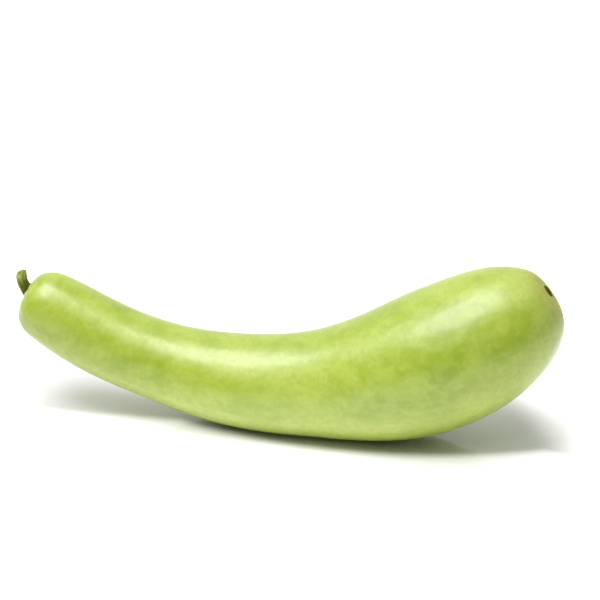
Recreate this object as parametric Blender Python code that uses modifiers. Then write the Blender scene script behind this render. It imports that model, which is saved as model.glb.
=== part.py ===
"""Bottle gourd: one long pale green fruit as picked, lying on its belly.

Each piece is modelled on a straight gourd whose middle line is the X axis, with the
stem end at x = 0 and the blossom end at x = LENGTH. A guide curve then bends every
piece alike, and an empty lays the bent gourd on the ground plane.
Metres, +Z up. The neck points towards -X and the blossom end towards +X.
"""
import math

import bmesh
import bpy
import numpy as np
from mathutils import Vector

MM = 0.001
QUARTER_TURN = math.radians(90)

# The whole fruit
LENGTH = 0.357                  # along the curved middle line, end to end
LEAN = math.radians(8)          # how far the curve's plane leans back from upright
FLAT_DEPTH = 1.3 * MM           # how much of the belly is pressed flat where it lies

# Distance from the stem end, and the radius there before the two ends are rounded
GIRTH = (
    (0.000, 0.0208),
    (0.025, 0.0232),
    (0.060, 0.0245),
    (0.095, 0.0253),
    (0.130, 0.0284),
    (0.165, 0.0311),
    (0.200, 0.0345),
    (0.240, 0.0415),
    (0.280, 0.0446),
    (0.320, 0.0403),
    (0.357, 0.0345),
)
# Distance from the stem end, and the slope of the middle line there, in degrees
SLOPE = (
    (0.000, -25),
    (0.030, -28.5),
    (0.070, -20),
    (0.120, -11),
    (0.180, 4.8),
    (0.240, 16.4),
    (0.300, 33.3),
    (0.357, 40.3),
)
NECK_ROUNDING = 0.020           # length of the rounded end at the stem
NECK_BLUNTNESS = 2.95           # 2 is an ellipse, more is blunter
BLOSSOM_ROUNDING = 0.065
BLOSSOM_BLUNTNESS = 2.9

# Slow waves in the girth: share of the radius, lobes round, waves along, phase
SWELLS = (
    (0.010, 2, 1.0, 0.6),
    (0.007, 3, 2.0, 2.1),
    (0.005, 1, 3.5, 4.0),
)
SWELL_FADE = 0.035              # the waves die out over this length at each end

# Blossom end: a soft dimple round a small sharp-edged pit that holds the scar
DIMPLE_DEPTH = 1.1 * MM
DIMPLE_RADIUS = 9.0 * MM
PIT_RADIUS = 4.3 * MM
PIT_DEPTH = 1.3 * MM
SCAR_SHIFT = 1.8 * MM           # of the pit and scar, above the very end of the fruit
SCAR_SHIFT_RADIUS = 14 * MM     # beyond the pit, over which the skin takes up that shift
SCAR_GAP = 0.3 * MM
SCAR_RIM_RADIUS = 2.6 * MM
SCAR_RIM_HEIGHT = 1.8 * MM      # above its underside, so that it stands a little out of the pit
SCAR_BOWL_DEPTH = 0.6 * MM
SCAR_NUB_RADIUS = 0.7 * MM
SCAR_NUB_HEIGHT = 0.5 * MM

# Stem: a short cut length of ribbed stalk that turns upwards
STEM_GAP = 0.3 * MM
STEM_OFFSET = 1.8 * MM          # above the tip of the neck
STEM_LENGTH = 13.8 * MM
STEM_RADIUS = 3.6 * MM
STEM_TOP_RADIUS = 3.2 * MM
STEM_FLARE = 1.3 * MM           # added to the radius at the base
STEM_FLARE_SHARE = 0.35         # of the length, over which the flare dies out
STEM_RIBS = 5
STEM_RIB_DEPTH = 0.07           # share of the radius
STEM_BASE_RIB_DEPTH = 0.12
STEM_START_TILT = math.radians(20)
STEM_END_TILT = math.radians(76)
STEM_CUT_SLOPE = 0.55           # fall across the slanting cut, per unit of width
STEM_CUT_TURN = math.radians(-45)
STEM_CUT_SHARE = 0.55           # the rings begin to slant this far along
STEM_TIP_SHARE = 0.76           # the stem begins to round off towards the cut this far along
STEM_TIP_NARROWING = 0.55      # share of the radius lost to that rounding at the cut's edge

# Base colours and roughness
SKIN = ((0.45, 0.63, 0.13), 0.38)
STALK = ((0.16, 0.19, 0.035), 0.7)
CORK = ((0.06, 0.042, 0.017), 0.85)
SHARP_EDGE = math.radians(50)

# Fineness of the meshes
TURNED_SIDES = 48
NECK_RINGS = 9
BODY_RINGS = 34
BLOSSOM_RINGS = 10
SCAR_SIDES = 24
STEM_SIDES = 30
STEM_RINGS = 8
STEM_TIP_RINGS = 6
STEM_BEND_STEPS = 40
GUIDE_POINTS = 90
MERGE = 0.01 * MM


def smooth_curve(stations):
    """A natural cubic spline through (position, value) stations, as a function."""
    at = np.array([station[0] for station in stations])
    value = np.array([station[1] for station in stations], dtype=float)
    gap = np.diff(at)
    slope = np.diff(value) / gap
    rows = np.eye(len(at))
    right_side = np.zeros(len(at))
    for i in range(1, len(at) - 1):
        rows[i, i - 1:i + 2] = gap[i - 1], 2 * (gap[i - 1] + gap[i]), gap[i]
        right_side[i] = 6 * (slope[i] - slope[i - 1])
    bend = np.linalg.solve(rows, right_side)

    def value_at(position):
        i = int(np.clip(np.searchsorted(at, position) - 1, 0, len(gap) - 1))
        before = position - at[i]
        after = at[i + 1] - position
        straight = (value[i] * after + value[i + 1] * before) / gap[i]
        curved = (bend[i] * after * (after**2 - gap[i]**2)
                  + bend[i + 1] * before * (before**2 - gap[i]**2)) / (6 * gap[i])
        return straight + curved

    return value_at


def middle_line():
    """Points along the bent middle line, in its own upright plane."""
    slope_at = smooth_curve(SLOPE)
    step = LENGTH / (GUIDE_POINTS - 1)
    point = Vector((0, 0, 0))
    points = [point.copy()]
    for i in range(GUIDE_POINTS - 1):
        slope = math.radians(slope_at((i + 0.5) * step))
        point += step * Vector((math.cos(slope), 0, math.sin(slope)))
        points.append(point.copy())
    return points


def skin_profile():
    """Outline of the straight fruit as (x, radius), from the stem end to the pit."""
    girth_at = smooth_curve(GIRTH)
    outline = []
    for i in range(NECK_RINGS):
        turn = QUARTER_TURN * i / NECK_RINGS
        x = NECK_ROUNDING * (1 - math.cos(turn) ** (2 / NECK_BLUNTNESS))
        outline.append((x, girth_at(x) * math.sin(turn) ** (2 / NECK_BLUNTNESS)))
    body_end = LENGTH - BLOSSOM_ROUNDING
    for i in range(BODY_RINGS + 1):
        x = NECK_ROUNDING + (body_end - NECK_ROUNDING) * i / BODY_RINGS
        outline.append((x, girth_at(x)))
    last_turn = math.asin((PIT_RADIUS / girth_at(LENGTH)) ** (BLOSSOM_BLUNTNESS / 2))
    for i in range(1, BLOSSOM_RINGS + 1):
        turn = QUARTER_TURN + (last_turn - QUARTER_TURN) * i / BLOSSOM_RINGS
        x = body_end + BLOSSOM_ROUNDING * math.cos(turn) ** (2 / BLOSSOM_BLUNTNESS)
        radius = girth_at(x) * math.sin(turn) ** (2 / BLOSSOM_BLUNTNESS)
        outline.append((x - dimple_at(radius), radius))
    return outline


def dimple_at(radius):
    """Depth of the dimple at this distance from the scar's centre."""
    return DIMPLE_DEPTH * math.exp(-(radius / DIMPLE_RADIUS) ** 2)


def swell_at(x, angle):
    """Share by which the skin stands out from the round shape."""
    share = 0.0
    for height, lobes, waves, phase in SWELLS:
        share += height * math.sin(lobes * angle + waves * math.tau * x / LENGTH + phase)
    from_end = min(max(min(x, LENGTH - x) / SWELL_FADE, 0), 1)
    return share * from_end ** 2 * (3 - 2 * from_end)


def turned(name, profile, sides):
    """A closed solid turned about the X axis from an open (x, radius) profile.

    The profile runs along +X, and is taken backwards so that the faces point out.
    """
    mesh = bpy.data.meshes.new(name)
    points = [(x, 0, radius) for x, radius in reversed(profile)]
    edges = [(i, i + 1) for i in range(len(points) - 1)]
    mesh.from_pydata(points, edges, [])
    turning = bpy.data.objects.new(name, mesh)
    bpy.context.scene.collection.objects.link(turning)
    screw = turning.modifiers.new("turn", "SCREW")
    screw.axis = "X"
    screw.angle = math.tau
    screw.steps = sides
    screw.render_steps = sides
    screw.use_merge_vertices = True
    screw.merge_threshold = MERGE
    screw.use_smooth_shade = True
    evaluated = turning.evaluated_get(bpy.context.evaluated_depsgraph_get())
    solid = bpy.data.meshes.new_from_object(evaluated)
    bpy.data.objects.remove(turning)
    return solid


def lofted(name, rings):
    """A closed solid through rings of points, with one face across each end."""
    form = bmesh.new()
    loops = [[form.verts.new(point) for point in ring] for ring in rings]
    count = len(loops[0])
    for near, far in zip(loops, loops[1:]):
        for i in range(count):
            j = (i + 1) % count
            form.faces.new((near[i], near[j], far[j], far[i]))
    form.faces.new(loops[0][::-1])
    form.faces.new(loops[-1])
    bmesh.ops.recalc_face_normals(form, faces=form.faces)
    mesh = bpy.data.meshes.new(name)
    form.to_mesh(mesh)
    form.free()
    return mesh


def material(name, colour, roughness):
    surface = bpy.data.materials.new(name)
    surface.use_nodes = True
    shader = surface.node_tree.nodes["Principled BSDF"]
    shader.inputs["Base Color"].default_value = (*colour, 1)
    shader.inputs["Roughness"].default_value = roughness
    shader.inputs["Metallic"].default_value = 0
    return surface


def collection(name):
    group = bpy.data.collections.new(name)
    bpy.context.scene.collection.children.link(group)
    return group


def place(name, mesh, surface, group, guide, pose):
    """Put one piece of the straight gourd on the bent middle line."""
    mesh.materials.clear()
    mesh.materials.append(surface)
    mesh.shade_smooth()
    mesh.set_sharp_from_angle(angle=SHARP_EDGE)
    piece = bpy.data.objects.new(name, mesh)
    piece.parent = pose
    group.objects.link(piece)
    bend = piece.modifiers.new("bend", "CURVE")
    bend.object = guide
    bend.deform_axis = "POS_X"
    return piece


def guide_curve(group, pose):
    curve = bpy.data.curves.new("middle_line", "CURVE")
    curve.dimensions = "3D"
    curve.twist_mode = "Z_UP"
    points = middle_line()
    spline = curve.splines.new("POLY")
    spline.points.add(len(points) - 1)
    for target, point in zip(spline.points, points):
        target.co = (*point, 1)
    guide = bpy.data.objects.new("middle_line", curve)
    guide.parent = pose
    guide.hide_render = True
    guide.display_type = "WIRE"
    group.objects.link(guide)
    return guide


def scar_shift_at(x, radius):
    """How far the skin here moves up, so that pit and dimple lie a little above the very end."""
    if x < LENGTH - BLOSSOM_ROUNDING:
        return 0
    return SCAR_SHIFT * math.exp(-max(0, radius - PIT_RADIUS) ** 2 / SCAR_SHIFT_RADIUS ** 2)


def fruit_mesh():
    profile = skin_profile()
    floor_x = profile[-1][0] - PIT_DEPTH
    profile.append((floor_x, PIT_RADIUS))
    profile.append((floor_x, 0))
    mesh = turned("fruit", profile, TURNED_SIDES)
    for vertex in mesh.vertices:
        x, y, z = vertex.co
        swell = 1 + swell_at(x, math.atan2(y, z))
        shift = scar_shift_at(x, math.hypot(y, z))
        vertex.co = (x, y * swell, z * swell + shift)
    return mesh


def scar_mesh():
    """A corky button in the pit: a crumbled rim, a shallow bowl and a nub in its middle."""
    lip_x = skin_profile()[-1][0]
    under = lip_x - PIT_DEPTH + SCAR_GAP
    side = PIT_RADIUS - SCAR_GAP
    crest = under + SCAR_RIM_HEIGHT
    profile = [
        (under, 0),
        (under, side),
        (crest - SCAR_GAP, side),
        (crest, (side + SCAR_RIM_RADIUS) / 2),
        (crest - SCAR_BOWL_DEPTH / 2, SCAR_RIM_RADIUS),
        (crest - SCAR_BOWL_DEPTH, 2 * SCAR_NUB_RADIUS),
        (crest - SCAR_BOWL_DEPTH + SCAR_NUB_HEIGHT, SCAR_NUB_RADIUS),
        (crest - SCAR_BOWL_DEPTH + SCAR_NUB_HEIGHT, 0),
    ]
    mesh = turned("blossom_scar", profile, SCAR_SIDES)
    for vertex in mesh.vertices:
        vertex.co.z += SCAR_SHIFT
    return mesh


def stem_ring(share):
    """One ribbed section of the stem, from 0 at the fruit to 1 at the cut."""
    middle = Vector((-STEM_GAP, 0, STEM_OFFSET))
    step = STEM_LENGTH * share / STEM_BEND_STEPS
    tilt = STEM_START_TILT
    for i in range(STEM_BEND_STEPS):
        along = share * (i + 0.5) / STEM_BEND_STEPS
        tilt = STEM_START_TILT + (STEM_END_TILT - STEM_START_TILT) * along
        middle += step * Vector((-math.cos(tilt), 0, math.sin(tilt)))
    flare = max(0, 1 - share / STEM_FLARE_SHARE) ** 2
    radius = STEM_RADIUS + (STEM_TOP_RADIUS - STEM_RADIUS) * share + STEM_FLARE * flare
    into_tip = max(0, share - STEM_TIP_SHARE) / (1 - STEM_TIP_SHARE)
    radius *= 1 - STEM_TIP_NARROWING * (1 - math.sqrt(1 - into_tip ** 2))
    rib_depth = STEM_RIB_DEPTH + (STEM_BASE_RIB_DEPTH - STEM_RIB_DEPTH) * flare
    section_tilt = tilt * min(1, share / STEM_FLARE_SHARE)
    outward = Vector((-math.cos(section_tilt), 0, math.sin(section_tilt)))
    across = Vector((0, 1, 0))
    under = outward.cross(across)
    cut = STEM_CUT_SLOPE * max(0, share - STEM_CUT_SHARE) / (1 - STEM_CUT_SHARE)
    ring = []
    for i in range(STEM_SIDES):
        angle = math.tau * i / STEM_SIDES
        reach = radius * (1 + rib_depth * math.cos(STEM_RIBS * angle))
        fall = cut * reach * math.cos(angle - STEM_CUT_TURN)
        ring.append(middle + reach * (math.cos(angle) * under + math.sin(angle) * across)
                    - fall * outward)
    return ring


def stem_mesh():
    """The stem through rings that lie closer together where its tip rounds off."""
    shares = [STEM_TIP_SHARE * i / STEM_RINGS for i in range(STEM_RINGS)]
    for i in range(STEM_TIP_RINGS + 1):
        turn = QUARTER_TURN * i / STEM_TIP_RINGS
        shares.append(STEM_TIP_SHARE + (1 - STEM_TIP_SHARE) * math.sin(turn))
    return lofted("stem", [stem_ring(share) for share in shares])


def world_box(pieces):
    """Lowest and highest corners of the pieces as they lie."""
    depsgraph = bpy.context.evaluated_depsgraph_get()
    points = []
    for piece in pieces:
        evaluated = piece.evaluated_get(depsgraph)
        points.extend(evaluated.matrix_world @ vertex.co for vertex in evaluated.data.vertices)
    points = np.array(points)
    return points.min(axis=0), points.max(axis=0)


def lay_down(pose, pieces):
    """Lean the gourd back and set it down with the middle of its box over the origin."""
    pose.rotation_euler = (-LEAN, 0, 0)
    bpy.context.view_layer.update()
    low, high = world_box(pieces)
    pose.location = (-(low[0] + high[0]) / 2, -(low[1] + high[1]) / 2, -low[2] - FLAT_DEPTH)
    bpy.context.view_layer.update()


def press_flat(fruit, group):
    """Cut the small flat on the belly, level with the ground plane."""
    size = 2 * LENGTH
    block = bmesh.new()
    bmesh.ops.create_cube(block, size=size)
    bmesh.ops.translate(block, verts=block.verts, vec=(0, 0, -size / 2))
    mesh = bpy.data.meshes.new("ground")
    block.to_mesh(mesh)
    block.free()
    ground = bpy.data.objects.new("ground", mesh)
    ground.hide_render = True
    ground.display_type = "WIRE"
    group.objects.link(ground)
    flat = fruit.modifiers.new("flat", "BOOLEAN")
    flat.operation = "DIFFERENCE"
    flat.object = ground
    flat.solver = "EXACT"


def build():
    for thing in list(bpy.data.objects):
        bpy.data.objects.remove(thing)
    gourd = collection("bottle_gourd")
    helpers = collection("guides_and_cutters")
    pose = bpy.data.objects.new("lying_pose", None)
    gourd.objects.link(pose)
    guide = guide_curve(helpers, pose)
    skin = material("waxy_skin", *SKIN)
    stalk = material("cut_stalk", *STALK)
    cork = material("dry_cork", *CORK)
    fruit = place("fruit", fruit_mesh(), skin, gourd, guide, pose)
    stem = place("stem", stem_mesh(), stalk, gourd, guide, pose)
    scar = place("blossom_scar", scar_mesh(), cork, gourd, guide, pose)
    lay_down(pose, (fruit, stem, scar))
    press_flat(fruit, helpers)


build()
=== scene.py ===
"""Looks of the bottle gourd: its waxy skin, cut stem and corky blossom scar, in a pale studio.

Each piece is shaped on a straight gourd whose middle line is the X axis, with the stem end
at x = 0 and the blossom end at x = LENGTH. It is then bent on the curved middle line and
laid down where the solid lies. The materials read where each point grew on the straight
gourd, so their marks follow the skin. Metres, +Z up.
"""

import math

import bpy
import numpy as np
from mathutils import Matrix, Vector, noise


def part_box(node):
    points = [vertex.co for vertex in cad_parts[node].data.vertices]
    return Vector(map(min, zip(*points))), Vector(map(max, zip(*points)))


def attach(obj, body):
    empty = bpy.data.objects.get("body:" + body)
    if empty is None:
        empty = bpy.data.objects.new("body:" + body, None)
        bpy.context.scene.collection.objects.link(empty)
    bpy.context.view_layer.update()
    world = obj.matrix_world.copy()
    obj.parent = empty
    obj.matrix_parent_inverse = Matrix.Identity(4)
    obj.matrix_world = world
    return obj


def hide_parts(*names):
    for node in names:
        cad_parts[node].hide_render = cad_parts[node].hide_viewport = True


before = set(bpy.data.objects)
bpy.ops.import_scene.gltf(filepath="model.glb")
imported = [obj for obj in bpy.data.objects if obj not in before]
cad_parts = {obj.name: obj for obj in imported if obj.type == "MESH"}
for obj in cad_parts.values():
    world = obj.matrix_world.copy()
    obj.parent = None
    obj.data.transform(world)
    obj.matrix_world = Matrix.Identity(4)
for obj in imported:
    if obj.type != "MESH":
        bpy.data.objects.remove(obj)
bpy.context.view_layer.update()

MM = 0.001
QUARTER_TURN = math.radians(90)

# Camera, rounded from a fit to the gourd's outline in the photograph
CAMERA_TURN = math.radians(9.73)    # round to the right of the gourd's middle
CAMERA_RISE = math.radians(24.42)   # above the horizon
CAMERA_DISTANCE = 1.1
CAMERA_AIM_ACROSS = 10.9 * MM
CAMERA_AIM_UP = 86.5 * MM
CAMERA_SENSOR = 36.0                # mm
CAMERA_LENS = 107.0                 # mm

# Studio
FLOOR_SIZE = 12.0
ROOM_LIGHT = 0.08                   # from the front
BACKDROP_LIGHT = 0.72               # from behind
BACKDROP_SIDE = (-0.15, 0.99, 0)
BACKDROP_SPAN = (-0.5, 0.8)         # share of a direction on that side, where it sets in and is full
PANEL_PLACE = (-0.34, -0.25, 1.25)
PANEL_AIM = (-0.02, 0, 0)
PANELS = (                          # name, width, depth and radiance of each layer of the panel
    ("panel_core", 0.8, 0.75, 8.2),
    ("panel_edge", 1.6, 1.4, 1.4),
)

# Glow of the board, which keeps the gourd's shadow short
BOARD_GLOW = 0.6                    # all round, away from the gourd
BOARD_GLOW_SPAN = (0.03, 0.20)      # from the line under the gourd
SHADED_MIDDLE = (0.015, 0.02, 0.0)  # of that line
SHADED_HALF_LENGTH = 0.14
END_GLOW = 0.5                      # beyond the blossom end
END_GLOW_SPAN = (0.158, 0.195)
END_GLOW_SLANT = 0.45
SHADOW_FRONT_MIDDLE = 0.05          # where along X the shadow reaches furthest forward
SHADOW_FRONT = 0.026
SHADOW_FRONT_BOW = 1.64
SHADOW_FRONT_BOW_LIMIT = 0.022
FRONT_GLOW = 0.95                   # in front of the shadow
FRONT_GLOW_SPAN = (0, 0.055)
BLOSSOM_SIDE_SPAN = (0.0, 0.12)     # along X, where the front glow fades to what is left at each end
BLOSSOM_SIDE_GLOW = 0.60
NECK_SIDE_SPAN = (-0.02, -0.14)
NECK_SIDE_GLOW = 0.25
EDGE_GLOW = 0.45                    # at the shadow's front edge
EDGE_GLOW_SPAN = (-0.003, 0.009)

# The whole fruit, as in the solid. Girth, slope and the rounding of both ends are rounded
# from a fit to its outline in the photograph.
LENGTH = 0.357
LEAN = math.radians(8)
GIRTH = (                           # distance along the gourd, radius
    (0.000, 0.0208),
    (0.025, 0.0232),
    (0.060, 0.0245),
    (0.095, 0.0253),
    (0.130, 0.0284),
    (0.165, 0.0311),
    (0.200, 0.0345),
    (0.240, 0.0415),
    (0.280, 0.0446),
    (0.320, 0.0403),
    (0.357, 0.0345),
)
SLOPE = (                           # distance along the gourd, degrees above level
    (0.000, -25),
    (0.030, -28.5),
    (0.070, -20),
    (0.120, -11),
    (0.180, 4.8),
    (0.240, 16.4),
    (0.300, 33.3),
    (0.357, 40.3),
)
NECK_ROUNDING = 0.020
NECK_BLUNTNESS = 2.95
BLOSSOM_ROUNDING = 0.065
BLOSSOM_BLUNTNESS = 2.9
SWELLS = (                          # share of the radius, lobes round, waves along, phase
    (0.010, 2, 1.0, 0.6),
    (0.007, 3, 2.0, 2.1),
    (0.005, 1, 3.5, 4.0),
)
SWELL_FADE = 0.035
DIMPLE_DEPTH = 1.1 * MM
DIMPLE_RADIUS = 9.0 * MM
PIT_RADIUS = 3.9 * MM               # inside its rounded rim, a little closer than in the solid
PIT_DEPTH = 1.3 * MM
SCAR_SHIFT_UP = 1.8 * MM            # of pit and scar from the very end
SCAR_SHIFT_BACK = 0.8 * MM
SCAR_SHIFT_REACH = 14 * MM          # beyond the pit

# Finer form of the skin
SKIN_RINGS = 380
SKIN_SIDES = 240
FINE_SPACING = 0.3 * MM             # between rings at both ends
COARSE_SPACING = 1.25 * MM          # between rings along the body
SPACING_GROWTH = 0.03
PROFILE_STEPS = 600                 # in each of the outline's long stretches
PIT_EDGE_STEPS = 12
PIT_FLOOR_STEPS = 40
MIDDLE_LINE_STEPS = 400
OFFSET_STEPS = 120
OFFSET_SIDES = 240
PIT_EDGE = 0.35 * MM                # rounding of the pit's rim
LIP_HEIGHT = 0.2 * MM               # of skin raised round the pit
LIP_WIDTH = 1.0 * MM
PRESS_SOFTNESS = 0.5 * MM           # how gently the skin turns into the flat of the belly
LUMP_HEIGHT = 0.22 * MM
LUMP_WAVES = (28, 45, 45)           # per metre, along X, Y and Z
RIPPLE_HEIGHT = 0.05 * MM
RIPPLE_WAVES = (90, 170, 170)
BODY_START = 9 * MM                 # radius from which lumps and ripples are full
NECK_RIBS = 10
NECK_RIB_HEIGHT = 0.16 * MM
NECK_RIB_REACH = 0.022
NECK_RIB_START = 14 * MM
NECK_RIB_WANDER = 1.5
NECK_RIB_WAVES = (20, 20, 20)
MOAT_DEPTH = 0.45 * MM              # of the groove in the skin round the stem
MOAT_RADIUS = 5.6 * MM
MOAT_WIDTH = 1.6 * MM
FOLD_HEIGHT = 0.12 * MM             # of the puckered skin round that
FOLD_RADIUS = 7 * MM
FOLD_WIDTH = 3 * MM

# Stem, as in the solid
STEM_OFFSET = 1.8 * MM
STEM_LENGTH = 13.8 * MM
STEM_RADIUS = 3.6 * MM
STEM_TOP_RADIUS = 3.2 * MM
STEM_FLARE = 1.3 * MM
STEM_FLARE_SHARE = 0.35
STEM_RIBS = 5
STEM_RIB_DEPTH = 0.07
STEM_BASE_RIB_DEPTH = 0.12
STEM_START_TILT = math.radians(20)
STEM_END_TILT = math.radians(76)
STEM_CUT_SLOPE = 0.55
STEM_CUT_TURN = math.radians(-45)
STEM_CUT_SHARE = 0.55

# Finer form of the stem
STEM_SIDES = 200
STEM_RINGS = 70
STEM_PATH_STEPS = 81
TIP_RINGS = 30
CUT_RINGS = 40
STEM_TIP_SHARE = 0.76               # from where it narrows to a rounded tip
STEM_TIP_NARROWING = 0.55
STEM_SINK = 0.5 * MM                # of its foot into the skin
RIB_FULLNESS = 0.8                  # under 1 makes ribs and valleys broader
GROOVE_DEPTH = 0.10 * MM
GROOVE_WAVES = (60, 1100, 1100)
KNOB_HEIGHT = 0.10 * MM
KNOB_WAVES = (350, 350, 350)
CUT_CROWN = 0.45 * MM               # how far the middle of the cut stands out
CUT_GROOVE = (0.10 * MM, 0.80, 0.06)    # depth, share of the radius and width of the groove
BUNDLES = (0.12 * MM, 0.60, 0.12)       # height, share of the radius and width of the fibre bundles
PITH = (0.30 * MM, 0.28)                # depth and width of the sunken pith
FIBRE_DEPTH = 0.09 * MM
FIBRE_WAVES = (500, 2300, 2300)

# Blossom scar
SCAR_SIDES = 120
SCAR_RINGS = 80
SCAR_SPACING = 0.2 * MM
SCAR_GAP = 0.3 * MM
SCAR_HEIGHT = 2.0 * MM              # from its underside to its rim
SCAR_EDGE = 0.5 * MM
SCAR_TOP = (                        # depth below the rim and radius in mm, from its side to its nub
    (0.1, 3.7),
    (0.0, 3.3),
    (0.2, 2.8),
    (0.6, 2.2),
    (0.7, 1.4),
    (0.6, 1.0),
    (0.2, 0.7),
    (0.1, 0.3),
    (0.15, 0.0),
)
CRUMB_HEIGHT = 0.16 * MM
CRUMB_WAVES = (900, 900, 900)
CRACK_DEPTH = 0.10 * MM
CRACK_WAVES = (500, 700, 700)
RAGGED_HEIGHT = 0.32 * MM           # of the broken rim
RAGGED_WAVES = (300, 450, 450)
RAGGED_RADIUS = 3.5 * MM
RAGGED_WIDTH = 0.6 * MM
RELIEF_START = 0.6 * MM             # height on its side from which the relief is full

# Colours of the skin, as linear red, green and blue
DEEP_GREEN = (0.310, 0.426, 0.028)
BRIGHT_GREEN = (0.413, 0.519, 0.058)
# paler belly, partly the skin's own tone and partly painted bounce light from the board
BELLY_BOUNCE_GREEN = (0.552, 0.626, 0.144)
PORE_GREEN = (0.56, 0.65, 0.18)
SPECK_BROWN = (0.16, 0.17, 0.04)
SCRATCH_CREAM = (0.62, 0.68, 0.30)
HALO_TAN = (0.46, 0.42, 0.045)
RING_YELLOW = (0.66, 0.66, 0.20)
FLECK_BROWN = (0.15, 0.17, 0.02)
NECK_PALE = (0.58, 0.66, 0.24)
NECK_DARK = (0.15, 0.17, 0.04)

# Colours of the stem
DARK_LINE_OLIVE = (0.105, 0.122, 0.003)
PALE_LINE_OLIVE = (0.33, 0.35, 0.038)
BLOTCH_BROWN = (0.16, 0.14, 0.03)
# painted shade on the stem's inner side
INNER_SHADE_OLIVE = (0.062, 0.070, 0.003)
# painted light on the stem's outer side
OUTER_LIT_OLIVE = (0.37, 0.39, 0.11)
# painted shade at the stem's foot
FOOT_SHADE_OLIVE = (0.034, 0.039, 0.001)
# painted light towards the stem's top
TOP_LIT_OLIVE = (0.49, 0.55, 0.14)
TIP_OLIVE = (0.19, 0.21, 0.045)
FLESH_DARK = (0.17, 0.19, 0.03)
FLESH_PALE = (0.48, 0.53, 0.14)
CUT_RIM_OLIVE = (0.12, 0.13, 0.02)
PITH_TAN = (0.28, 0.25, 0.07)

# Colours of the scar and of the board
CORK_DARK = (0.026, 0.028, 0.001)
CORK_OLIVE = (0.115, 0.115, 0.012)
CRUST_GREY = (0.50, 0.42, 0.33)
CRACK_OLIVE = (0.15, 0.14, 0.03)
BOARD_DULL = (0.88, 0.88, 0.875)
BOARD_WHITE = (0.91, 0.91, 0.905)
WHITE = (1, 1, 1)

# The paler belly, partly the skin's own paler underside and partly painted bounce light from the
# board: heights on the straight gourd where it sets in and is full, and its strength at the neck
# and at the blossom end, with where along X it changes.
BELLY_SPAN = (2 * MM, -26 * MM)
BELLY_CHANGE = (0.17, 0.25)
BELLY_STRENGTH = (0.50, 0.15)

# Large soft patches of the skin, partly its own deeper and paler tone and partly painted light and
# shade. Each has its distance along the gourd, its degrees round from the top towards the viewer,
# its reach along and round, and how much deeper (+) or paler (-) it is.
# These numbers are rounded from a fit of the skin's tones to the photograph.
TONE_AND_SHADE_PATCHES = (
    (0.010, 85, 0.028, 0.034, 0.15),
    (0.065, 80, 0.060, 0.014, 0.20),
    (0.180, 65, 0.065, 0.022, -0.33),
    (0.255, 50, 0.060, 0.034, -0.18),
    (0.255, 98, 0.062, 0.022, 0.40),
    (0.255, 132, 0.060, 0.014, -0.18),
    # painted shade: this deeper patch darkens where the highlight falls too bright
    (0.310, 50, 0.060, 0.014, 0.25),
    (0.315, 106, 0.028, 0.034, 0.22),
    (0.350, 44, 0.028, 0.034, -0.38),
)
PATCH_RAGGEDNESS = 0.6

# Noises laid over the skin's colour, one on another. Each has its stretch along X, Y and Z, its
# scale and detail, the values where it sets in and is full, its strength and its colour.
SKIN_LAYERS = (
    ("mottle", (0.8, 1, 1), 105, 2.5, 0.41, 0.61, 0.33, (0.48, 0.585, 0.11)),
    ("bruise", (0.8, 1, 1), 185, 2.0, 0.56, 0.65, 0.26, (0.28, 0.41, 0.03)),
    ("grain", (1, 1, 1), 330, 1.0, 0.42, 0.66, 0.20, (0.27, 0.40, 0.03)),
    ("frost", (1, 0.8, 0.8), 240, 1.0, 0.50, 0.70, 0.16, (0.55, 0.65, 0.14)),
    ("streak", (0.06, 1, 1), 480, 2.0, 0.50, 0.74, 0.07, (0.26, 0.38, 0.03)),
    ("pale_line", (0.08, 1, 1), 330, 2.0, 0.56, 0.74, 0.07, (0.55, 0.62, 0.15)),
)
PORE_SCALE = 780
SPECK_SCALE = 95
SPECK_RARITY = 0.80                 # share of the places for a speck that stay without one

# Distances from the middle of the scar or of the stem's foot, where a mark sets in and is full
HALO_SPAN = (26 * MM, 6 * MM)
RING_SPAN = (6.6 * MM, 5.4 * MM)
FLECK_SPAN = (11 * MM, 8 * MM)
DULL_SPAN = (30 * MM, 8 * MM)
NECK_PALE_SPAN = (16 * MM, 6 * MM)
NECK_DARK_SPAN = (7.4 * MM, 5.2 * MM)

# Gloss of the skin, and how much duller it is round the scar
SKIN_ROUGHNESS = (0.30, 0.44)
SKIN_COAT = 0.68
SCAR_ROUGHER = 0.25
SCAR_LESS_COAT = 0.60


def smooth_curve(stations):
    """A natural cubic spline through (position, value) stations, as a function of arrays."""
    at, value = np.array(stations, dtype=float).T
    gap = np.diff(at)
    slope = np.diff(value) / gap
    rows = np.eye(len(at))
    right_side = np.zeros(len(at))
    for i in range(1, len(at) - 1):
        rows[i, i - 1:i + 2] = gap[i - 1], 2 * (gap[i - 1] + gap[i]), gap[i]
        right_side[i] = 6 * (slope[i] - slope[i - 1])
    curving = np.linalg.solve(rows, right_side)

    def value_at(position):
        i = np.clip(np.searchsorted(at, position) - 1, 0, len(gap) - 1)
        before = position - at[i]
        after = at[i + 1] - position
        straight = (value[i] * after + value[i + 1] * before) / gap[i]
        curved = (curving[i] * after * (after**2 - gap[i]**2)
                  + curving[i + 1] * before * (before**2 - gap[i]**2)) / (6 * gap[i])
        return straight + curved

    return value_at


def middle_line():
    """Distance along, x, z and slope of the bent middle line, in its own upright plane."""
    along = np.linspace(0, LENGTH, MIDDLE_LINE_STEPS)
    slope = np.radians(smooth_curve(SLOPE)(along))
    halfway = (slope[1:] + slope[:-1]) / 2
    x = np.concatenate(([0], np.cumsum(np.cos(halfway) * along[1])))
    z = np.concatenate(([0], np.cumsum(np.sin(halfway) * along[1])))
    return along, x, z, slope


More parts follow.
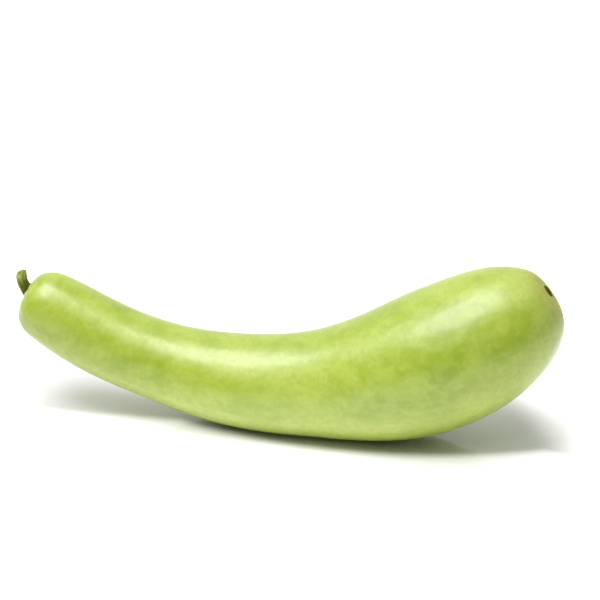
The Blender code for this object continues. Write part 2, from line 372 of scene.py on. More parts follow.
def bend(points):
    """Points of the straight gourd, bent on the middle line and leant back."""
    along, line_x, line_z, slope = MIDDLE_LINE
    x, y, z = points.T
    on_line = np.clip(x, 0, LENGTH)
    beyond = x - on_line
    tilt = np.interp(on_line, along, slope)
    bent_x = np.interp(on_line, along, line_x) + beyond * np.cos(tilt) - z * np.sin(tilt)
    bent_z = np.interp(on_line, along, line_z) + beyond * np.sin(tilt) + z * np.cos(tilt)
    leant_y = y * math.cos(LEAN) + bent_z * math.sin(LEAN)
    leant_z = bent_z * math.cos(LEAN) - y * math.sin(LEAN)
    return np.stack((bent_x, leant_y, leant_z), axis=1)


def press(points):
    """Lift what lies below the ground plane onto it, with a soft edge to the flat."""
    z = points[:, 2]
    points[:, 2] = (z + np.sqrt(z**2 + PRESS_SOFTNESS**2)) / 2
    return points


def hump(distance, width):
    """1 where the distance is 0, falling smoothly to nearly 0 at twice the width."""
    return np.exp(-(distance / width) ** 2)


def swell_at(x, angle):
    """Share by which the skin stands out from the round shape."""
    share = 0.0
    for height, lobes, waves, phase in SWELLS:
        share = share + height * np.sin(lobes * angle + waves * math.tau * x / LENGTH + phase)
    from_end = np.clip(np.minimum(x, LENGTH - x) / SWELL_FADE, 0, 1)
    return share * from_end ** 2 * (3 - 2 * from_end)


def scar_share_at(x, radius):
    """Share of the scar's shift that moves the skin here: all in the pit, less further out."""
    beyond_pit = np.maximum(0, radius - PIT_RADIUS)
    return hump(beyond_pit, SCAR_SHIFT_REACH) * (x > LENGTH - BLOSSOM_ROUNDING)


def skin_profile(steps=PROFILE_STEPS):
    """Close outline of the straight fruit, from the stem's side round to the pit's middle."""
    girth_at = smooth_curve(GIRTH)
    turn = np.linspace(0, QUARTER_TURN, steps)
    neck_x = NECK_ROUNDING * (1 - np.cos(turn) ** (2 / NECK_BLUNTNESS))
    neck_radius = girth_at(neck_x) * np.sin(turn) ** (2 / NECK_BLUNTNESS)
    body_end = LENGTH - BLOSSOM_ROUNDING
    body_x = np.linspace(NECK_ROUNDING, body_end, steps)[1:-1]
    rim = PIT_RADIUS + PIT_EDGE
    last_turn = math.asin((rim / girth_at(LENGTH)) ** (BLOSSOM_BLUNTNESS / 2))
    turn = np.linspace(QUARTER_TURN, last_turn, steps)
    end_x = body_end + BLOSSOM_ROUNDING * np.cos(turn) ** (2 / BLOSSOM_BLUNTNESS)
    end_radius = girth_at(end_x) * np.sin(turn) ** (2 / BLOSSOM_BLUNTNESS)
    lip = LIP_HEIGHT * hump(end_radius - rim, LIP_WIDTH)
    end_x = end_x - DIMPLE_DEPTH * hump(end_radius, DIMPLE_RADIUS) + lip
    turn = np.linspace(0, QUARTER_TURN, PIT_EDGE_STEPS)[1:]
    edge_x = end_x[-1] - PIT_EDGE * (1 - np.cos(turn))
    edge_radius = rim - PIT_EDGE * np.sin(turn)
    floor_x = np.full(PIT_FLOOR_STEPS, end_x[-1] - LIP_HEIGHT - PIT_DEPTH)
    floor_radius = np.linspace(PIT_RADIUS, 0, PIT_FLOOR_STEPS)
    x = np.concatenate((neck_x, body_x, end_x, edge_x, floor_x))
    radius = np.concatenate((neck_radius, girth_at(body_x), end_radius, edge_radius, floor_radius))
    return x, radius


def spread_rings(x, radius, count, fine, coarse, growth):
    """The same outline with its points close at both ends and wider apart between them."""
    length = np.concatenate(([0], np.cumsum(np.hypot(np.diff(x), np.diff(radius)))))
    from_end = np.minimum(length, length[-1] - length)
    crowding = 1 / np.minimum(coarse, fine + growth * from_end)
    halfway = (crowding[1:] + crowding[:-1]) / 2
    rank = np.concatenate(([0], np.cumsum(halfway * np.diff(length))))
    at = np.interp(np.linspace(0, rank[-1], count), rank, length)
    return np.interp(at, length, x), np.interp(at, length, radius)


def outline_normals(x, radius):
    """Outward directions along an outline, as x and radius parts."""
    out_x = -np.gradient(radius)
    out_radius = np.gradient(x)
    size = np.hypot(out_x, out_radius) + 1e-12
    return out_x / size, out_radius / size


def ring_grid(x, radius, sides):
    """x, radius and angle of every point on the rings between the two ends of an outline."""
    angle = np.arange(sides) * math.tau / sides
    inner = slice(1, -1)
    return np.repeat(x[inner], sides), np.repeat(radius[inner], sides), np.tile(angle, len(x) - 2)


def on_straight(x, radius, angle):
    """Points round the straight gourd's middle line, with angle 0 at its top."""
    return np.stack((x, radius * np.sin(angle), radius * np.cos(angle)), axis=1)


def with_ends(points, x):
    """Points of the rings, with the middle points of both ends of their outline."""
    return np.concatenate(([[x[0], 0, 0]], points, [[x[-1], 0, 0]]))


def solid_offset():
    """How far the bent gourd moves to lie where its solid lies."""
    x, radius = skin_profile(OFFSET_STEPS)
    angle = np.tile(np.linspace(0, math.tau, OFFSET_SIDES, endpoint=False), len(x))
    x = np.repeat(x, OFFSET_SIDES)
    radius = np.repeat(radius, OFFSET_SIDES)
    points = on_straight(x, radius * (1 + swell_at(x, angle)), angle)
    points[:, 2] += SCAR_SHIFT_UP * scar_share_at(x, radius)
    points = bend(points)
    low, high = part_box("fruit")
    middle = (points.min(axis=0) + points.max(axis=0)) / 2
    return np.array(((low[0] + high[0]) / 2 - middle[0], (low[1] + high[1]) / 2 - middle[1],
                     high[2] - points[:, 2].max()))


def noise_at(points, waves, octaves, shift):
    """Smooth noise from -1 to 1 at each point; another shift reads another part of it."""
    fade = 1.0
    step = 2.0
    scaled = points * np.array(waves) + shift
    return np.array([noise.fractal(point, fade, step, octaves) for point in scaled.tolist()])


def tube_faces(rings, sides, closed_start, closed_end):
    """Faces of rings of points laid one after another, with a middle point at each closed end."""
    first = 1 if closed_start else 0
    faces = []
    for ring in range(rings - 1):
        for i in range(sides):
            j = (i + 1) % sides
            near = first + ring * sides
            far = near + sides
            faces.append((near + i, far + i, far + j, near + j))
    if closed_start:
        faces.extend((0, first + i, first + (i + 1) % sides) for i in range(sides))
    if closed_end:
        far = first + (rings - 1) * sides
        faces.extend((far + sides, far + (i + 1) % sides, far + i) for i in range(sides))
    return faces


def make_piece(name, points, faces, grown, surface, node, marks=()):
    """A smooth mesh that stands for a solid, with where each point grew kept for its material."""
    mesh = bpy.data.meshes.new(name)
    mesh.from_pydata(points.tolist(), [], faces)
    mesh.attributes.new("grown", "FLOAT_VECTOR", "POINT").data.foreach_set("vector", grown.ravel())
    for mark, values in marks:
        mesh.attributes.new(mark, "FLOAT", "POINT").data.foreach_set("value", values)
    mesh.materials.append(surface)
    mesh.shade_smooth()
    piece = bpy.data.objects.new(name, mesh)
    bpy.context.scene.collection.objects.link(piece)
    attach(piece, "root")
    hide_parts(node)
    return piece


# The skin


def skin_relief(points, x, radius):
    """How far the skin stands out from its plain form: soft lumps, faint ribs and a pucker."""
    lumps = LUMP_HEIGHT * noise_at(points, LUMP_WAVES, 2, 3.0)
    ripples = RIPPLE_HEIGHT * noise_at(points, RIPPLE_WAVES, 2, 11.0)
    body = np.clip(radius / BODY_START, 0, 1)
    angle = np.arctan2(points[:, 1], points[:, 2])
    wander = NECK_RIB_WANDER * noise_at(points, NECK_RIB_WAVES, 1, 5.0)
    ribs = NECK_RIB_HEIGHT * np.cos(NECK_RIBS * angle + wander) * hump(x, NECK_RIB_REACH)
    ribs = ribs * np.clip(radius / NECK_RIB_START, 0, 1)
    from_stem = np.hypot(points[:, 1], points[:, 2] - STEM_OFFSET)
    moat = -MOAT_DEPTH * hump(from_stem - MOAT_RADIUS, MOAT_WIDTH)
    folds = FOLD_HEIGHT * np.cos(2 * STEM_RIBS * angle) * hump(from_stem - FOLD_RADIUS, FOLD_WIDTH)
    at_stem = x < NECK_ROUNDING
    return (lumps + ripples) * body + ribs + (moat + folds) * at_stem


def make_skin(surface):
    """The whole skin, from the stem's foot to the floor of the scar's pit."""
    x, radius = spread_rings(*skin_profile(), SKIN_RINGS, FINE_SPACING, COARSE_SPACING, SPACING_GROWTH)
    ring_x, ring_radius, angle = ring_grid(x, radius, SKIN_SIDES)
    plain = on_straight(ring_x, ring_radius * (1 + swell_at(ring_x, angle)), angle)
    out = on_straight(*ring_grid(*outline_normals(x, radius), SKIN_SIDES))
    straight = plain + out * skin_relief(plain, ring_x, ring_radius)[:, None]
    plain = with_ends(plain, x)
    straight = with_ends(straight, x)
    share = np.concatenate(([0], scar_share_at(ring_x, ring_radius), [1]))
    straight[:, 1] += SCAR_SHIFT_BACK * share
    straight[:, 2] += SCAR_SHIFT_UP * share
    faces = tube_faces(len(x) - 2, SKIN_SIDES, True, True)
    return make_piece("gourd_skin", press(bend(straight) + OFFSET), faces, plain, surface,
                      "fruit")


# The stem


def stem_path(share):
    """Middle point and tilt of the stem this share of the way to its cut."""
    steps = np.linspace(0, 1, STEM_PATH_STEPS)
    tilt = STEM_START_TILT + (STEM_END_TILT - STEM_START_TILT) * steps
    halfway = (tilt[1:] + tilt[:-1]) / 2
    step = STEM_LENGTH * steps[1]
    x = np.concatenate(([0], np.cumsum(-np.cos(halfway) * step)))
    z = np.concatenate(([0], np.cumsum(np.sin(halfway) * step)))
    height = STEM_OFFSET + np.interp(share, steps, z)
    return np.interp(share, steps, x), height, np.interp(share, steps, tilt)


def stem_rows():
    """Share along the stem and share of the radius, up its side and then in over the cut."""
    up = np.linspace(0, STEM_TIP_SHARE, STEM_RINGS)[:-1]
    tip = STEM_TIP_SHARE + (1 - STEM_TIP_SHARE) * np.sin(np.linspace(0, QUARTER_TURN, TIP_RINGS))
    over = np.linspace(1, 0, CUT_RINGS + 1)[1:-1]
    share = np.concatenate((up, tip, np.ones(len(over))))
    width = np.concatenate((np.ones(len(up) + len(tip)), over))
    return share, width


def stem_points(share, width, angle):
    """Points of the stem, and the same points on a straight stem along X."""
    middle_x, middle_z, tilt = stem_path(share)
    flare = np.clip(1 - share / STEM_FLARE_SHARE, 0, 1) ** 2
    radius = STEM_RADIUS + (STEM_TOP_RADIUS - STEM_RADIUS) * share + STEM_FLARE * flare
    into_tip = np.clip(share - STEM_TIP_SHARE, 0, 1) / (1 - STEM_TIP_SHARE)
    radius = radius * (1 - STEM_TIP_NARROWING * (1 - np.sqrt(1 - np.minimum(into_tip, 1) ** 2)))
    rib_depth = STEM_RIB_DEPTH + (STEM_BASE_RIB_DEPTH - STEM_RIB_DEPTH) * flare
    rib = np.cos(STEM_RIBS * angle)
    rib = np.sign(rib) * np.abs(rib) ** RIB_FULLNESS
    across = radius * width
    grown = np.stack((share * STEM_LENGTH, np.cos(angle) * across, np.sin(angle) * across), axis=1)
    groove = GROOVE_DEPTH * noise_at(grown, GROOVE_WAVES, 2, 7.0)
    knobs = KNOB_HEIGHT * noise_at(grown, KNOB_WAVES, 2, 9.0)
    reach = width * (radius * (1 + rib_depth * rib) + groove + knobs)
    section_tilt = tilt * np.minimum(1, share / STEM_FLARE_SHARE)
    cut = STEM_CUT_SLOPE * np.clip(share - STEM_CUT_SHARE, 0, 1) / (1 - STEM_CUT_SHARE)
    fall = cut * reach * np.cos(angle - STEM_CUT_TURN) + cut_relief(share, width, angle, grown)
    out_x = -np.cos(section_tilt)
    out_z = np.sin(section_tilt)
    # a section's two directions: square to the stem in its upright plane, and across that plane
    x = middle_x + reach * np.cos(angle) * -out_z - fall * out_x
    y = reach * np.sin(angle)
    z = middle_z + reach * np.cos(angle) * out_x - fall * out_z
    return np.stack((x + STEM_SINK * (1 - share), y, z), axis=1), grown


def cut_relief(share, width, angle, grown):
    """How far the cut face lies below its plane: crown, groove, bundles and sunken pith."""
    on_cut = (share >= 1) & (width < 1)
    crown = -CUT_CROWN * (1 - width ** 2)
    depth, middle, spread = CUT_GROOVE
    groove = depth * hump(width - middle, spread)
    height, middle, spread = BUNDLES
    bundles = -height * hump(width - middle, spread) * (0.5 + 0.5 * np.cos(2 * STEM_RIBS * angle))
    depth, spread = PITH
    pith = depth * hump(width, spread)
    fibres = FIBRE_DEPTH * noise_at(grown, FIBRE_WAVES, 2, 2.0)
    return (crown + groove + bundles + pith + fibres) * on_cut


def make_stem(surface):
    """The bent stalk with its cut face, closed at its foot inside the skin."""
    share, width = stem_rows()
    angle = np.arange(STEM_SIDES) * math.tau / STEM_SIDES
    count = len(share)
    straight, grown = stem_points(np.repeat(share, STEM_SIDES), np.repeat(width, STEM_SIDES),
                                  np.tile(angle, count))
    tip, tip_grown = stem_points(np.array([1.0]), np.array([0.0]), np.array([0.0]))
    straight = np.concatenate((straight, tip))
    grown = np.concatenate((grown, tip_grown))
    on_cut = np.concatenate((np.repeat((width < 1).astype(float), STEM_SIDES), [1.0]))
    across = np.concatenate((np.repeat(width, STEM_SIDES), [0.0]))
    faces = tube_faces(count, STEM_SIDES, False, True)
    faces.append(tuple(range(STEM_SIDES)))
    return make_piece("stem_stalk", bend(straight) + OFFSET, faces, grown, surface, "stem",
                      (("on_cut", on_cut), ("across_cut", across)))


# The blossom scar


def scar_profile():
    """Outline of the corky button, from the middle of its underside round to its nub."""
    under = skin_profile()[0][-1] + SCAR_GAP / 3
    side = PIT_RADIUS - SCAR_GAP / 3
    rim = under + SCAR_HEIGHT
    points = [(under, 0), (under, side), (rim - SCAR_EDGE, side)]
    points.extend((rim - depth * MM, radius * MM) for depth, radius in SCAR_TOP)
    x, radius = np.array(points).T
    return spread_rings(x, radius, SCAR_RINGS, SCAR_SPACING, SCAR_SPACING, 0)


def scar_relief(points, x, radius):
    """How far the cork stands out from its plain form: crumbs, cracks and a broken rim."""
    crumbs = CRUMB_HEIGHT * noise_at(points, CRUMB_WAVES, 4, 1.0)
    cracks = CRACK_DEPTH * (0.5 - np.abs(noise_at(points, CRACK_WAVES, 2, 4.0)) ** 0.5)
    ragged = RAGGED_HEIGHT * noise_at(points, RAGGED_WAVES, 2, 8.0)
    ragged = ragged * hump(radius - RAGGED_RADIUS, RAGGED_WIDTH)
    return (crumbs + cracks + ragged) * np.clip((x - x.min()) / RELIEF_START, 0, 1)


def make_scar(surface):
    """The corky button in the pit."""
    x, radius = scar_profile()
    ring_x, ring_radius, angle = ring_grid(x, radius, SCAR_SIDES)
    plain = on_straight(ring_x, ring_radius, angle)
    straight = plain.copy()
    straight[:, 0] += scar_relief(plain, ring_x, ring_radius)
    plain = with_ends(plain, x)
    straight = with_ends(straight, x) + (0, SCAR_SHIFT_BACK, SCAR_SHIFT_UP)
    faces = tube_faces(len(x) - 2, SCAR_SIDES, True, True)
    from_middle = np.hypot(plain[:, 1], plain[:, 2])
    return make_piece("scar_cork", bend(straight) + OFFSET, faces, plain, surface, "blossom_scar",
                      (("from_middle", from_middle),))


# Materials


class Nodes:
    """The node tree of a material or of the sky, filled one node at a time."""

    def __init__(self, owner, shader="Principled BSDF"):
        owner.use_nodes = True
        self.owner = owner
        self.tree = owner.node_tree
        self.shader = self.tree.nodes[shader]

    def set(self, node, inputs):
        """Set inputs by name or number, each to a value, a colour or another node's output."""
        for key, value in inputs.items():
            socket = node.inputs[key]
            if isinstance(value, bpy.types.NodeSocket):
                self.tree.links.new(value, socket)
            elif socket.type == "RGBA":
                socket.default_value = (*value, 1.0)
            else:
                socket.default_value = value

    def add(self, kind, inputs, output=0, **settings):
        node = self.tree.nodes.new("ShaderNode" + kind)
        for key, value in settings.items():
            setattr(node, key, value)
        self.set(node, inputs)
        return node.outputs[output]

    def mark(self, name, output="Fac"):
        """A value that make_piece kept with each point."""
        return self.add("Attribute", {}, output, attribute_name=name)

    def vector(self, operation, first, second=(0, 0, 0), output=0):
        return self.add("VectorMath", {0: first, 1: second}, output, operation=operation)

    def part(self, vector, axis):
        return self.add("SeparateXYZ", {0: vector}, axis)

    def distance(self, place, point):
        return self.vector("DISTANCE", place, point, "Value")

    def clouds(self, vector, scale, detail=3.0, roughness=0.5, stretch=(1, 1, 1)):
        """A noise, stretched along X, Y and Z."""
        stretched = self.vector("MULTIPLY", vector, stretch)
        return self.add("TexNoise", {"Vector": stretched, "Scale": scale, "Detail": detail,
                                     "Roughness": roughness})

    def cells(self, vector, scale, output="Distance"):
        return self.add("TexVoronoi", {"Vector": vector, "Scale": scale}, output)

    def remap(self, value, low, high, to_low=0.0, to_high=1.0):
        """A smooth ramp as the value goes from low to high, level beyond them."""
        return self.add("MapRange", {"Value": value, "From Min": low, "From Max": high,
                                     "To Min": to_low, "To Max": to_high}, interpolation_type="SMOOTHSTEP")

    def math(self, operation, first, second=0.0):
        return self.add("Math", {0: first, 1: second}, operation=operation)

    def times(self, first, second):
        return self.math("MULTIPLY", first, second)

    def mix(self, factor, first, second):
        """Two colours mixed; each is a colour or an output."""
        return self.add("Mix", {0: factor, 6: first, 7: second}, 2, data_type="RGBA")

    def tint(self, base, tone, mask, strength):
        """A colour with another tone over it where the mask is."""
        return self.mix(self.times(mask, strength), base, tone)

    def bump(self, height, distance, strength, normal=None):
        inputs = {"Height": height, "Distance": distance, "Strength": strength}
        if normal is not None:
            inputs["Normal"] = normal
        return self.add("Bump", inputs, "Normal")

    def finish(self, **inputs):
        """Set the shader's inputs, with _ for each space in their names."""
        self.set(self.shader, {key.replace("_", " "): value for key, value in inputs.items()})
        return self.owner


def tone_and_shade_patches(nodes, grown, skin):
    """Large soft patches with ragged edges, deeper or paler green than the skin round them: partly the
    skin's own tone, partly painted light and shade.
    """
    clouds = nodes.clouds(grown, 70, roughness=0.6)
    ragged = nodes.times(nodes.math("SUBTRACT", clouds, 0.5), PATCH_RAGGEDNESS)
    depth = 1.0
    for along, degrees_round, reach_along, reach_round, strength in TONE_AND_SHADE_PATCHES:
        radius = float(np.interp(along, *skin_profile()))
        turn = math.radians(degrees_round)
        middle = (along, -radius * math.sin(turn), radius * math.cos(turn))
        apart = nodes.vector("SUBTRACT", grown, middle)
        apart = nodes.vector("MULTIPLY", apart, (1 / reach_along, 1 / reach_round, 1 / reach_round))
        apart = nodes.math("ADD", nodes.vector("LENGTH", apart, output="Value"), ragged)
        depth = nodes.math("ADD", depth, nodes.remap(apart, 1, 0, 0, strength))
    return nodes.add("Gamma", {"Color": skin, "Gamma": depth})


def skin_surface():
    """Pale green waxed skin: cloudy tone, a belly paler partly by painted bounce light, patches partly of
    painted light and shade, fine streaks, pores, specks and scratches.
    """
    nodes = Nodes(bpy.data.materials.new("waxy_skin"))
    grown = nodes.mark("grown", "Vector")
    tone = nodes.clouds(grown, 30, roughness=0.55, stretch=(0.7, 1, 1))
    skin = nodes.mix(nodes.remap(tone, 0.38, 0.64), DEEP_GREEN, BRIGHT_GREEN)
    # the paler belly is partly painted bounce light from the board below
    belly_bounce_strength = nodes.remap(nodes.part(grown, "X"), *BELLY_CHANGE, *BELLY_STRENGTH)
    skin = nodes.tint(skin, BELLY_BOUNCE_GREEN, nodes.remap(nodes.part(grown, "Z"), *BELLY_SPAN), belly_bounce_strength)
    # patches of the skin's own tone, partly painted light and shade
    skin = tone_and_shade_patches(nodes, grown, skin)
    masks = {}
    for name, stretch, scale, detail, low, high, strength, tint in SKIN_LAYERS:
        masks[name] = nodes.remap(nodes.clouds(grown, scale, detail, stretch=stretch), low, high)
        skin = nodes.tint(skin, tint, masks[name], strength)
    pores = nodes.remap(nodes.cells(grown, PORE_SCALE), 0.34, 0.16)
    skin = nodes.tint(skin, PORE_GREEN, pores, 0.04)
    skin = specks(nodes, grown, skin)
    skin = scratches(nodes, grown, skin)
    skin = end_tints(nodes, grown, skin)
    dull = nodes.remap(nodes.distance(grown, (LENGTH, 0, 0)), *DULL_SPAN)
    rough = nodes.remap(nodes.math("ADD", masks["mottle"], masks["grain"]), 0, 2, *SKIN_ROUGHNESS)
    rough = nodes.math("ADD", rough, nodes.times(dull, SCAR_ROUGHER))
    coat = nodes.math("SUBTRACT", SKIN_COAT, nodes.times(dull, SCAR_LESS_COAT))
    normal = nodes.bump(nodes.clouds(grown, 150, 2.0), 0.50 * MM, 0.5)
    normal = nodes.bump(nodes.clouds(grown, 450, 2.0, stretch=(0.7, 1, 1)), 0.14 * MM, 0.2, normal)
    normal = nodes.bump(pores, 0.04 * MM, 0.2, normal)
    normal = nodes.bump(nodes.clouds(grown, 1900, 2.0), 0.04 * MM, 0.15, normal)
    return nodes.finish(Base_Color=skin, Roughness=rough, Normal=normal, IOR=1.42,
                        Subsurface_Weight=0.15, Subsurface_Radius=(0.9, 1.0, 0.25),
                        Subsurface_Scale=2.5 * MM, Coat_Weight=coat, Coat_Roughness=0.29)


def specks(nodes, grown, skin):
    """A few tiny brown specks, each in one cell out of many."""
    spot = nodes.remap(nodes.cells(grown, SPECK_SCALE), 0.055, 0.02)
    draw = nodes.add("SeparateColor", {0: nodes.cells(grown, SPECK_SCALE, "Color")})
    chosen = nodes.math("GREATER_THAN", draw, SPECK_RARITY)
    return nodes.tint(skin, SPECK_BROWN, nodes.times(spot, chosen), 0.65)


def scratches(nodes, grown, skin):
    """Hair-thin healed scratches, where a stretched noise crosses its middle value."""
    line = nodes.clouds(grown, 34, 1.0, 0.4, stretch=(1.0, 0.55, 0.55))
    thin = nodes.remap(nodes.math("ABSOLUTE", nodes.math("SUBTRACT", line, 0.5)), 0.0035, 0.0008)
    patch = nodes.remap(nodes.clouds(grown, 55, 1.0), 0.63, 0.70)
    return nodes.tint(skin, SCRATCH_CREAM, nodes.times(thin, patch), 0.35)


def end_tints(nodes, grown, skin):
    """Halo, pale ring and dark flecks round the scar; paler skin and a dark ring round the stem."""
    patchy = nodes.clouds(grown, 330, roughness=0.6)
    from_scar = nodes.distance(grown, (LENGTH, 0, 0))
    halo = nodes.remap(from_scar, *HALO_SPAN)
    skin = nodes.tint(skin, HALO_TAN, halo, nodes.remap(patchy, 0.3, 0.7, 0.5, 0.9))
    ring = nodes.times(nodes.remap(from_scar, *RING_SPAN), nodes.remap(patchy, 0.42, 0.58))
    skin = nodes.tint(skin, RING_YELLOW, ring, 0.7)
    spots = nodes.remap(nodes.clouds(grown, 700, 2.0), 0.60, 0.68)
    flecks = nodes.times(nodes.remap(from_scar, *FLECK_SPAN), spots)
    skin = nodes.tint(skin, FLECK_BROWN, flecks, 0.7)
    from_stem = nodes.distance(grown, (0, 0, STEM_OFFSET))
    skin = nodes.tint(skin, NECK_PALE, nodes.remap(from_stem, *NECK_PALE_SPAN), 0.45)
    dark = nodes.remap(from_stem, *NECK_DARK_SPAN)
    return nodes.tint(skin, NECK_DARK, dark, nodes.remap(patchy, 0.45, 0.6, 0.1, 0.9))


def bark_colour(nodes, grown, lines, blotch):
    """Olive bark with pale lines, with painted shade on its inner side and at its foot, and painted light
    on its outer side and towards its top.
    """
    bark = nodes.mix(nodes.remap(lines, 0.38, 0.62), DARK_LINE_OLIVE, PALE_LINE_OLIVE)
    bark = nodes.mix(nodes.remap(blotch, 0.45, 0.75, 0, 0.5), bark, BLOTCH_BROWN)
    height = nodes.part(grown, "X")
    outward = nodes.part(grown, "Y")
    # painted shade on the inner side
    bark = nodes.tint(bark, INNER_SHADE_OLIVE, nodes.remap(outward, 1.2 * MM, -3 * MM), 0.75)
    # painted light on the outer side
    lit_side = nodes.remap(outward, 1.0 * MM, 3.4 * MM)
    bark = nodes.tint(bark, OUTER_LIT_OLIVE, lit_side, 0.55)
    # painted shade at the foot, lighter on the lit outer side
    foot = nodes.remap(height, 6.5 * MM, 0.5 * MM)
    bark = nodes.tint(bark, FOOT_SHADE_OLIVE, foot, nodes.remap(lit_side, 0, 1, 0.85, 0.35))
    # painted light towards the top, in streaks
    streaky = nodes.remap(lines, 0.40, 0.60, 0.35, 1.0)
    top = nodes.times(nodes.remap(height, 6 * MM, 11.5 * MM), streaky)
    bark = nodes.tint(bark, TOP_LIT_OLIVE, top, 0.65)
    return nodes.tint(bark, TIP_OLIVE, nodes.remap(height, 12.4 * MM, 13.6 * MM), 0.8)


def cut_colour(nodes, grown):
    """The cut face: fibrous flesh, a dark rim under the bark and a tan pith."""
    across = nodes.mark("across_cut")
    fibres = nodes.clouds(grown, 1500, roughness=0.6, stretch=(0.2, 1, 1))
    flesh = nodes.mix(fibres, FLESH_DARK, FLESH_PALE)
    flesh = nodes.tint(flesh, CUT_RIM_OLIVE, nodes.remap(across, 0.60, 0.92), 0.85)
    return nodes.mix(nodes.remap(across, 0.32, 0.1, 0, 0.7), flesh, PITH_TAN)


def stem_surface():
    """Dull olive stalk with fine lines along it, and its cut face."""
    nodes = Nodes(bpy.data.materials.new("cut_stalk"))
    grown = nodes.mark("grown", "Vector")
    lines = nodes.clouds(grown, 900, roughness=0.55, stretch=(0.10, 1, 1))
    blotch = nodes.clouds(grown, 300, roughness=0.6)
    bark = bark_colour(nodes, grown, lines, blotch)
    stalk = nodes.mix(nodes.mark("on_cut"), bark, cut_colour(nodes, grown))
    rough = nodes.remap(blotch, 0.3, 0.7, 0.58, 0.78)
    normal = nodes.bump(lines, 0.12 * MM, 0.7)
    normal = nodes.bump(nodes.clouds(grown, 2600, 2.0, 0.6), 0.06 * MM, 0.6, normal)
    return nodes.finish(Base_Color=stalk, Roughness=rough, Normal=normal, IOR=1.25,
                        Subsurface_Weight=0.08, Subsurface_Radius=(0.8, 1.0, 0.3),
                        Subsurface_Scale=1.0 * MM)


def cork_surface():
    """Dry dark cork with crumbs and cracks, and a pale crust on the lower back of its rim."""
    nodes = Nodes(bpy.data.materials.new("dry_cork"))
    grown = nodes.mark("grown", "Vector")
    crumbs = nodes.clouds(grown, 1600, 4.0, 0.65)
    cork = nodes.mix(nodes.remap(crumbs, 0.35, 0.65), CORK_DARK, CORK_OLIVE)
    rim = nodes.remap(nodes.mark("from_middle"), 2.7 * MM, 3.5 * MM)
    lower_back = nodes.vector("DOT_PRODUCT", grown, (0, 0.8, -0.6), "Value")
    crust = nodes.times(rim, nodes.remap(lower_back, 0.3 * MM, 2.0 * MM))
    broken = nodes.remap(nodes.clouds(grown, 600, 2.0), 0.40, 0.55, 0.4, 1.0)
    cork = nodes.tint(cork, CRUST_GREY, crust, broken)
    cork = nodes.tint(cork, CRACK_OLIVE, nodes.remap(nodes.cells(grown, 1300), 0.5, 0.1), 0.3)
    rough = nodes.remap(crumbs, 0.3, 0.7, 0.75, 0.92)
    normal = nodes.bump(crumbs, 0.15 * MM, 0.8)
    return nodes.finish(Base_Color=cork, Roughness=rough, Normal=normal, IOR=1.2)


# Studio


def front_glow(nodes, along, back, seen):
    """Glow in front of the gourd's shadow, whose front edge is a bow that levels off."""
    from_middle = nodes.math("SUBTRACT", along, SHADOW_FRONT_MIDDLE)
    bow = nodes.times(nodes.times(from_middle, from_middle), SHADOW_FRONT_BOW)
    bow = nodes.math("MINIMUM", bow, SHADOW_FRONT_BOW_LIMIT)
    forward = nodes.math("SUBTRACT", nodes.math("SUBTRACT", bow, SHADOW_FRONT), back)
    fading = nodes.math("MINIMUM", nodes.remap(along, *BLOSSOM_SIDE_SPAN, 1, BLOSSOM_SIDE_GLOW),
                        nodes.remap(along, *NECK_SIDE_SPAN, 1, NECK_SIDE_GLOW))
    front = nodes.times(nodes.remap(forward, *FRONT_GLOW_SPAN, 0, FRONT_GLOW), fading)
    edge = nodes.times(nodes.remap(forward, *EDGE_GLOW_SPAN, 0, EDGE_GLOW), seen)
    return nodes.math("MAXIMUM", front, edge)


def end_glow(nodes, along, back):
    """Glow beyond the blossom end, behind a slanting line."""
    slanted = nodes.math("ADD", along, nodes.times(back, END_GLOW_SLANT))
    return nodes.remap(slanted, *END_GLOW_SPAN, 0, END_GLOW)


def board_glow(nodes, place, seen):
    """Glow all round, from a little way off the line under the gourd."""
    side = nodes.vector("SUBTRACT", place, SHADED_MIDDLE)
    side = nodes.vector("ABSOLUTE", side)
    beyond = nodes.vector("SUBTRACT", side, (SHADED_HALF_LENGTH, 0, 0))
    beyond = nodes.vector("MAXIMUM", beyond, (0, 0, 0))
    away = nodes.vector("LENGTH", beyond, output="Value")
    return nodes.times(nodes.remap(away, *BOARD_GLOW_SPAN, 0, BOARD_GLOW), seen)


def floor_surface():
    """Glossy white board, a little uneven in its gloss, that glows except in the gourd's shadow."""
    nodes = Nodes(bpy.data.materials.new("white_board"))
    place = nodes.add("TexCoord", {}, "Object")
    along = nodes.part(place, "X")
    back = nodes.part(place, "Y")
    seen = nodes.add("LightPath", {}, "Is Camera Ray")
    cloudy = nodes.clouds(place, 9)
    white = nodes.mix(cloudy, BOARD_DULL, BOARD_WHITE)
    rough = nodes.remap(cloudy, 0.3, 0.7, 0.02, 0.045)
    glow = nodes.math("MAXIMUM", front_glow(nodes, along, back, seen), end_glow(nodes, along, back))
    glow = nodes.math("MAXIMUM", glow, board_glow(nodes, place, seen))
    return nodes.finish(Base_Color=white, Roughness=rough, IOR=1.9,
                        Emission_Color=WHITE, Emission_Strength=glow)


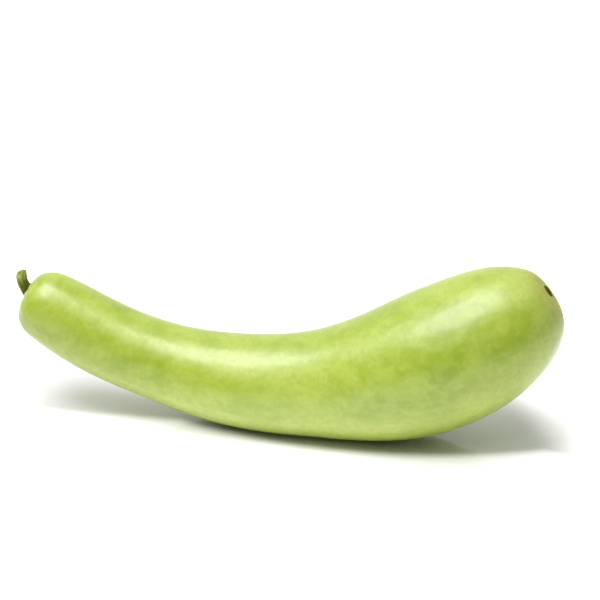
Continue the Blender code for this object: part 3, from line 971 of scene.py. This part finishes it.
def add_floor():
    mesh = bpy.data.meshes.new("floor")
    half = FLOOR_SIZE / 2
    corners = ((-half, -half, 0), (half, -half, 0), (half, half, 0), (-half, half, 0))
    mesh.from_pydata(corners, [], [(0, 1, 2, 3)])
    mesh.materials.append(floor_surface())
    floor = bpy.data.objects.new("floor", mesh)
    bpy.context.scene.collection.objects.link(floor)


def add_camera():
    right = Vector((math.cos(CAMERA_TURN), math.sin(CAMERA_TURN), 0))
    level = Vector((-math.sin(CAMERA_TURN), math.cos(CAMERA_TURN), 0))
    forward = math.cos(CAMERA_RISE) * level - math.sin(CAMERA_RISE) * Vector((0, 0, 1))
    target = CAMERA_AIM_ACROSS * right + Vector((0, 0, CAMERA_AIM_UP))
    lens = bpy.data.cameras.new("camera")
    lens.sensor_width = CAMERA_SENSOR
    lens.lens = CAMERA_LENS
    camera = bpy.data.objects.new("camera", lens)
    camera.location = target - CAMERA_DISTANCE * forward
    camera.rotation_euler = forward.to_track_quat("-Z", "Y").to_euler()
    bpy.context.scene.collection.objects.link(camera)
    bpy.context.scene.camera = camera


def add_panel(name, width, depth, radiance):
    """One rectangle of light above the gourd."""
    light = bpy.data.lights.new(name, "AREA")
    light.shape = "RECTANGLE"
    light.size = width
    light.size_y = depth
    light.energy = math.pi * width * depth * radiance
    panel = bpy.data.objects.new(name, light)
    panel.location = PANEL_PLACE
    panel.rotation_euler = (Vector(PANEL_AIM) - Vector(PANEL_PLACE)).to_track_quat("-Z", "Y").to_euler()
    bpy.context.scene.collection.objects.link(panel)


def add_light():
    """A pale backdrop behind, a dim room in front, and a soft-edged panel overhead."""
    sky = Nodes(bpy.data.worlds.new("studio"), "Background")
    direction = sky.add("TexCoord", {}, "Generated")
    towards = sky.vector("DOT_PRODUCT", direction, BACKDROP_SIDE, "Value")
    strength = sky.remap(towards, *BACKDROP_SPAN, ROOM_LIGHT, BACKDROP_LIGHT)
    bpy.context.scene.world = sky.finish(Color=WHITE, Strength=strength)
    for panel in PANELS:
        add_panel(*panel)
    bpy.context.scene.view_settings.view_transform = "Standard"


MIDDLE_LINE = middle_line()
OFFSET = solid_offset()
add_camera()
add_light()
add_floor()
make_skin(skin_surface())
make_stem(stem_surface())
make_scar(cork_surface())
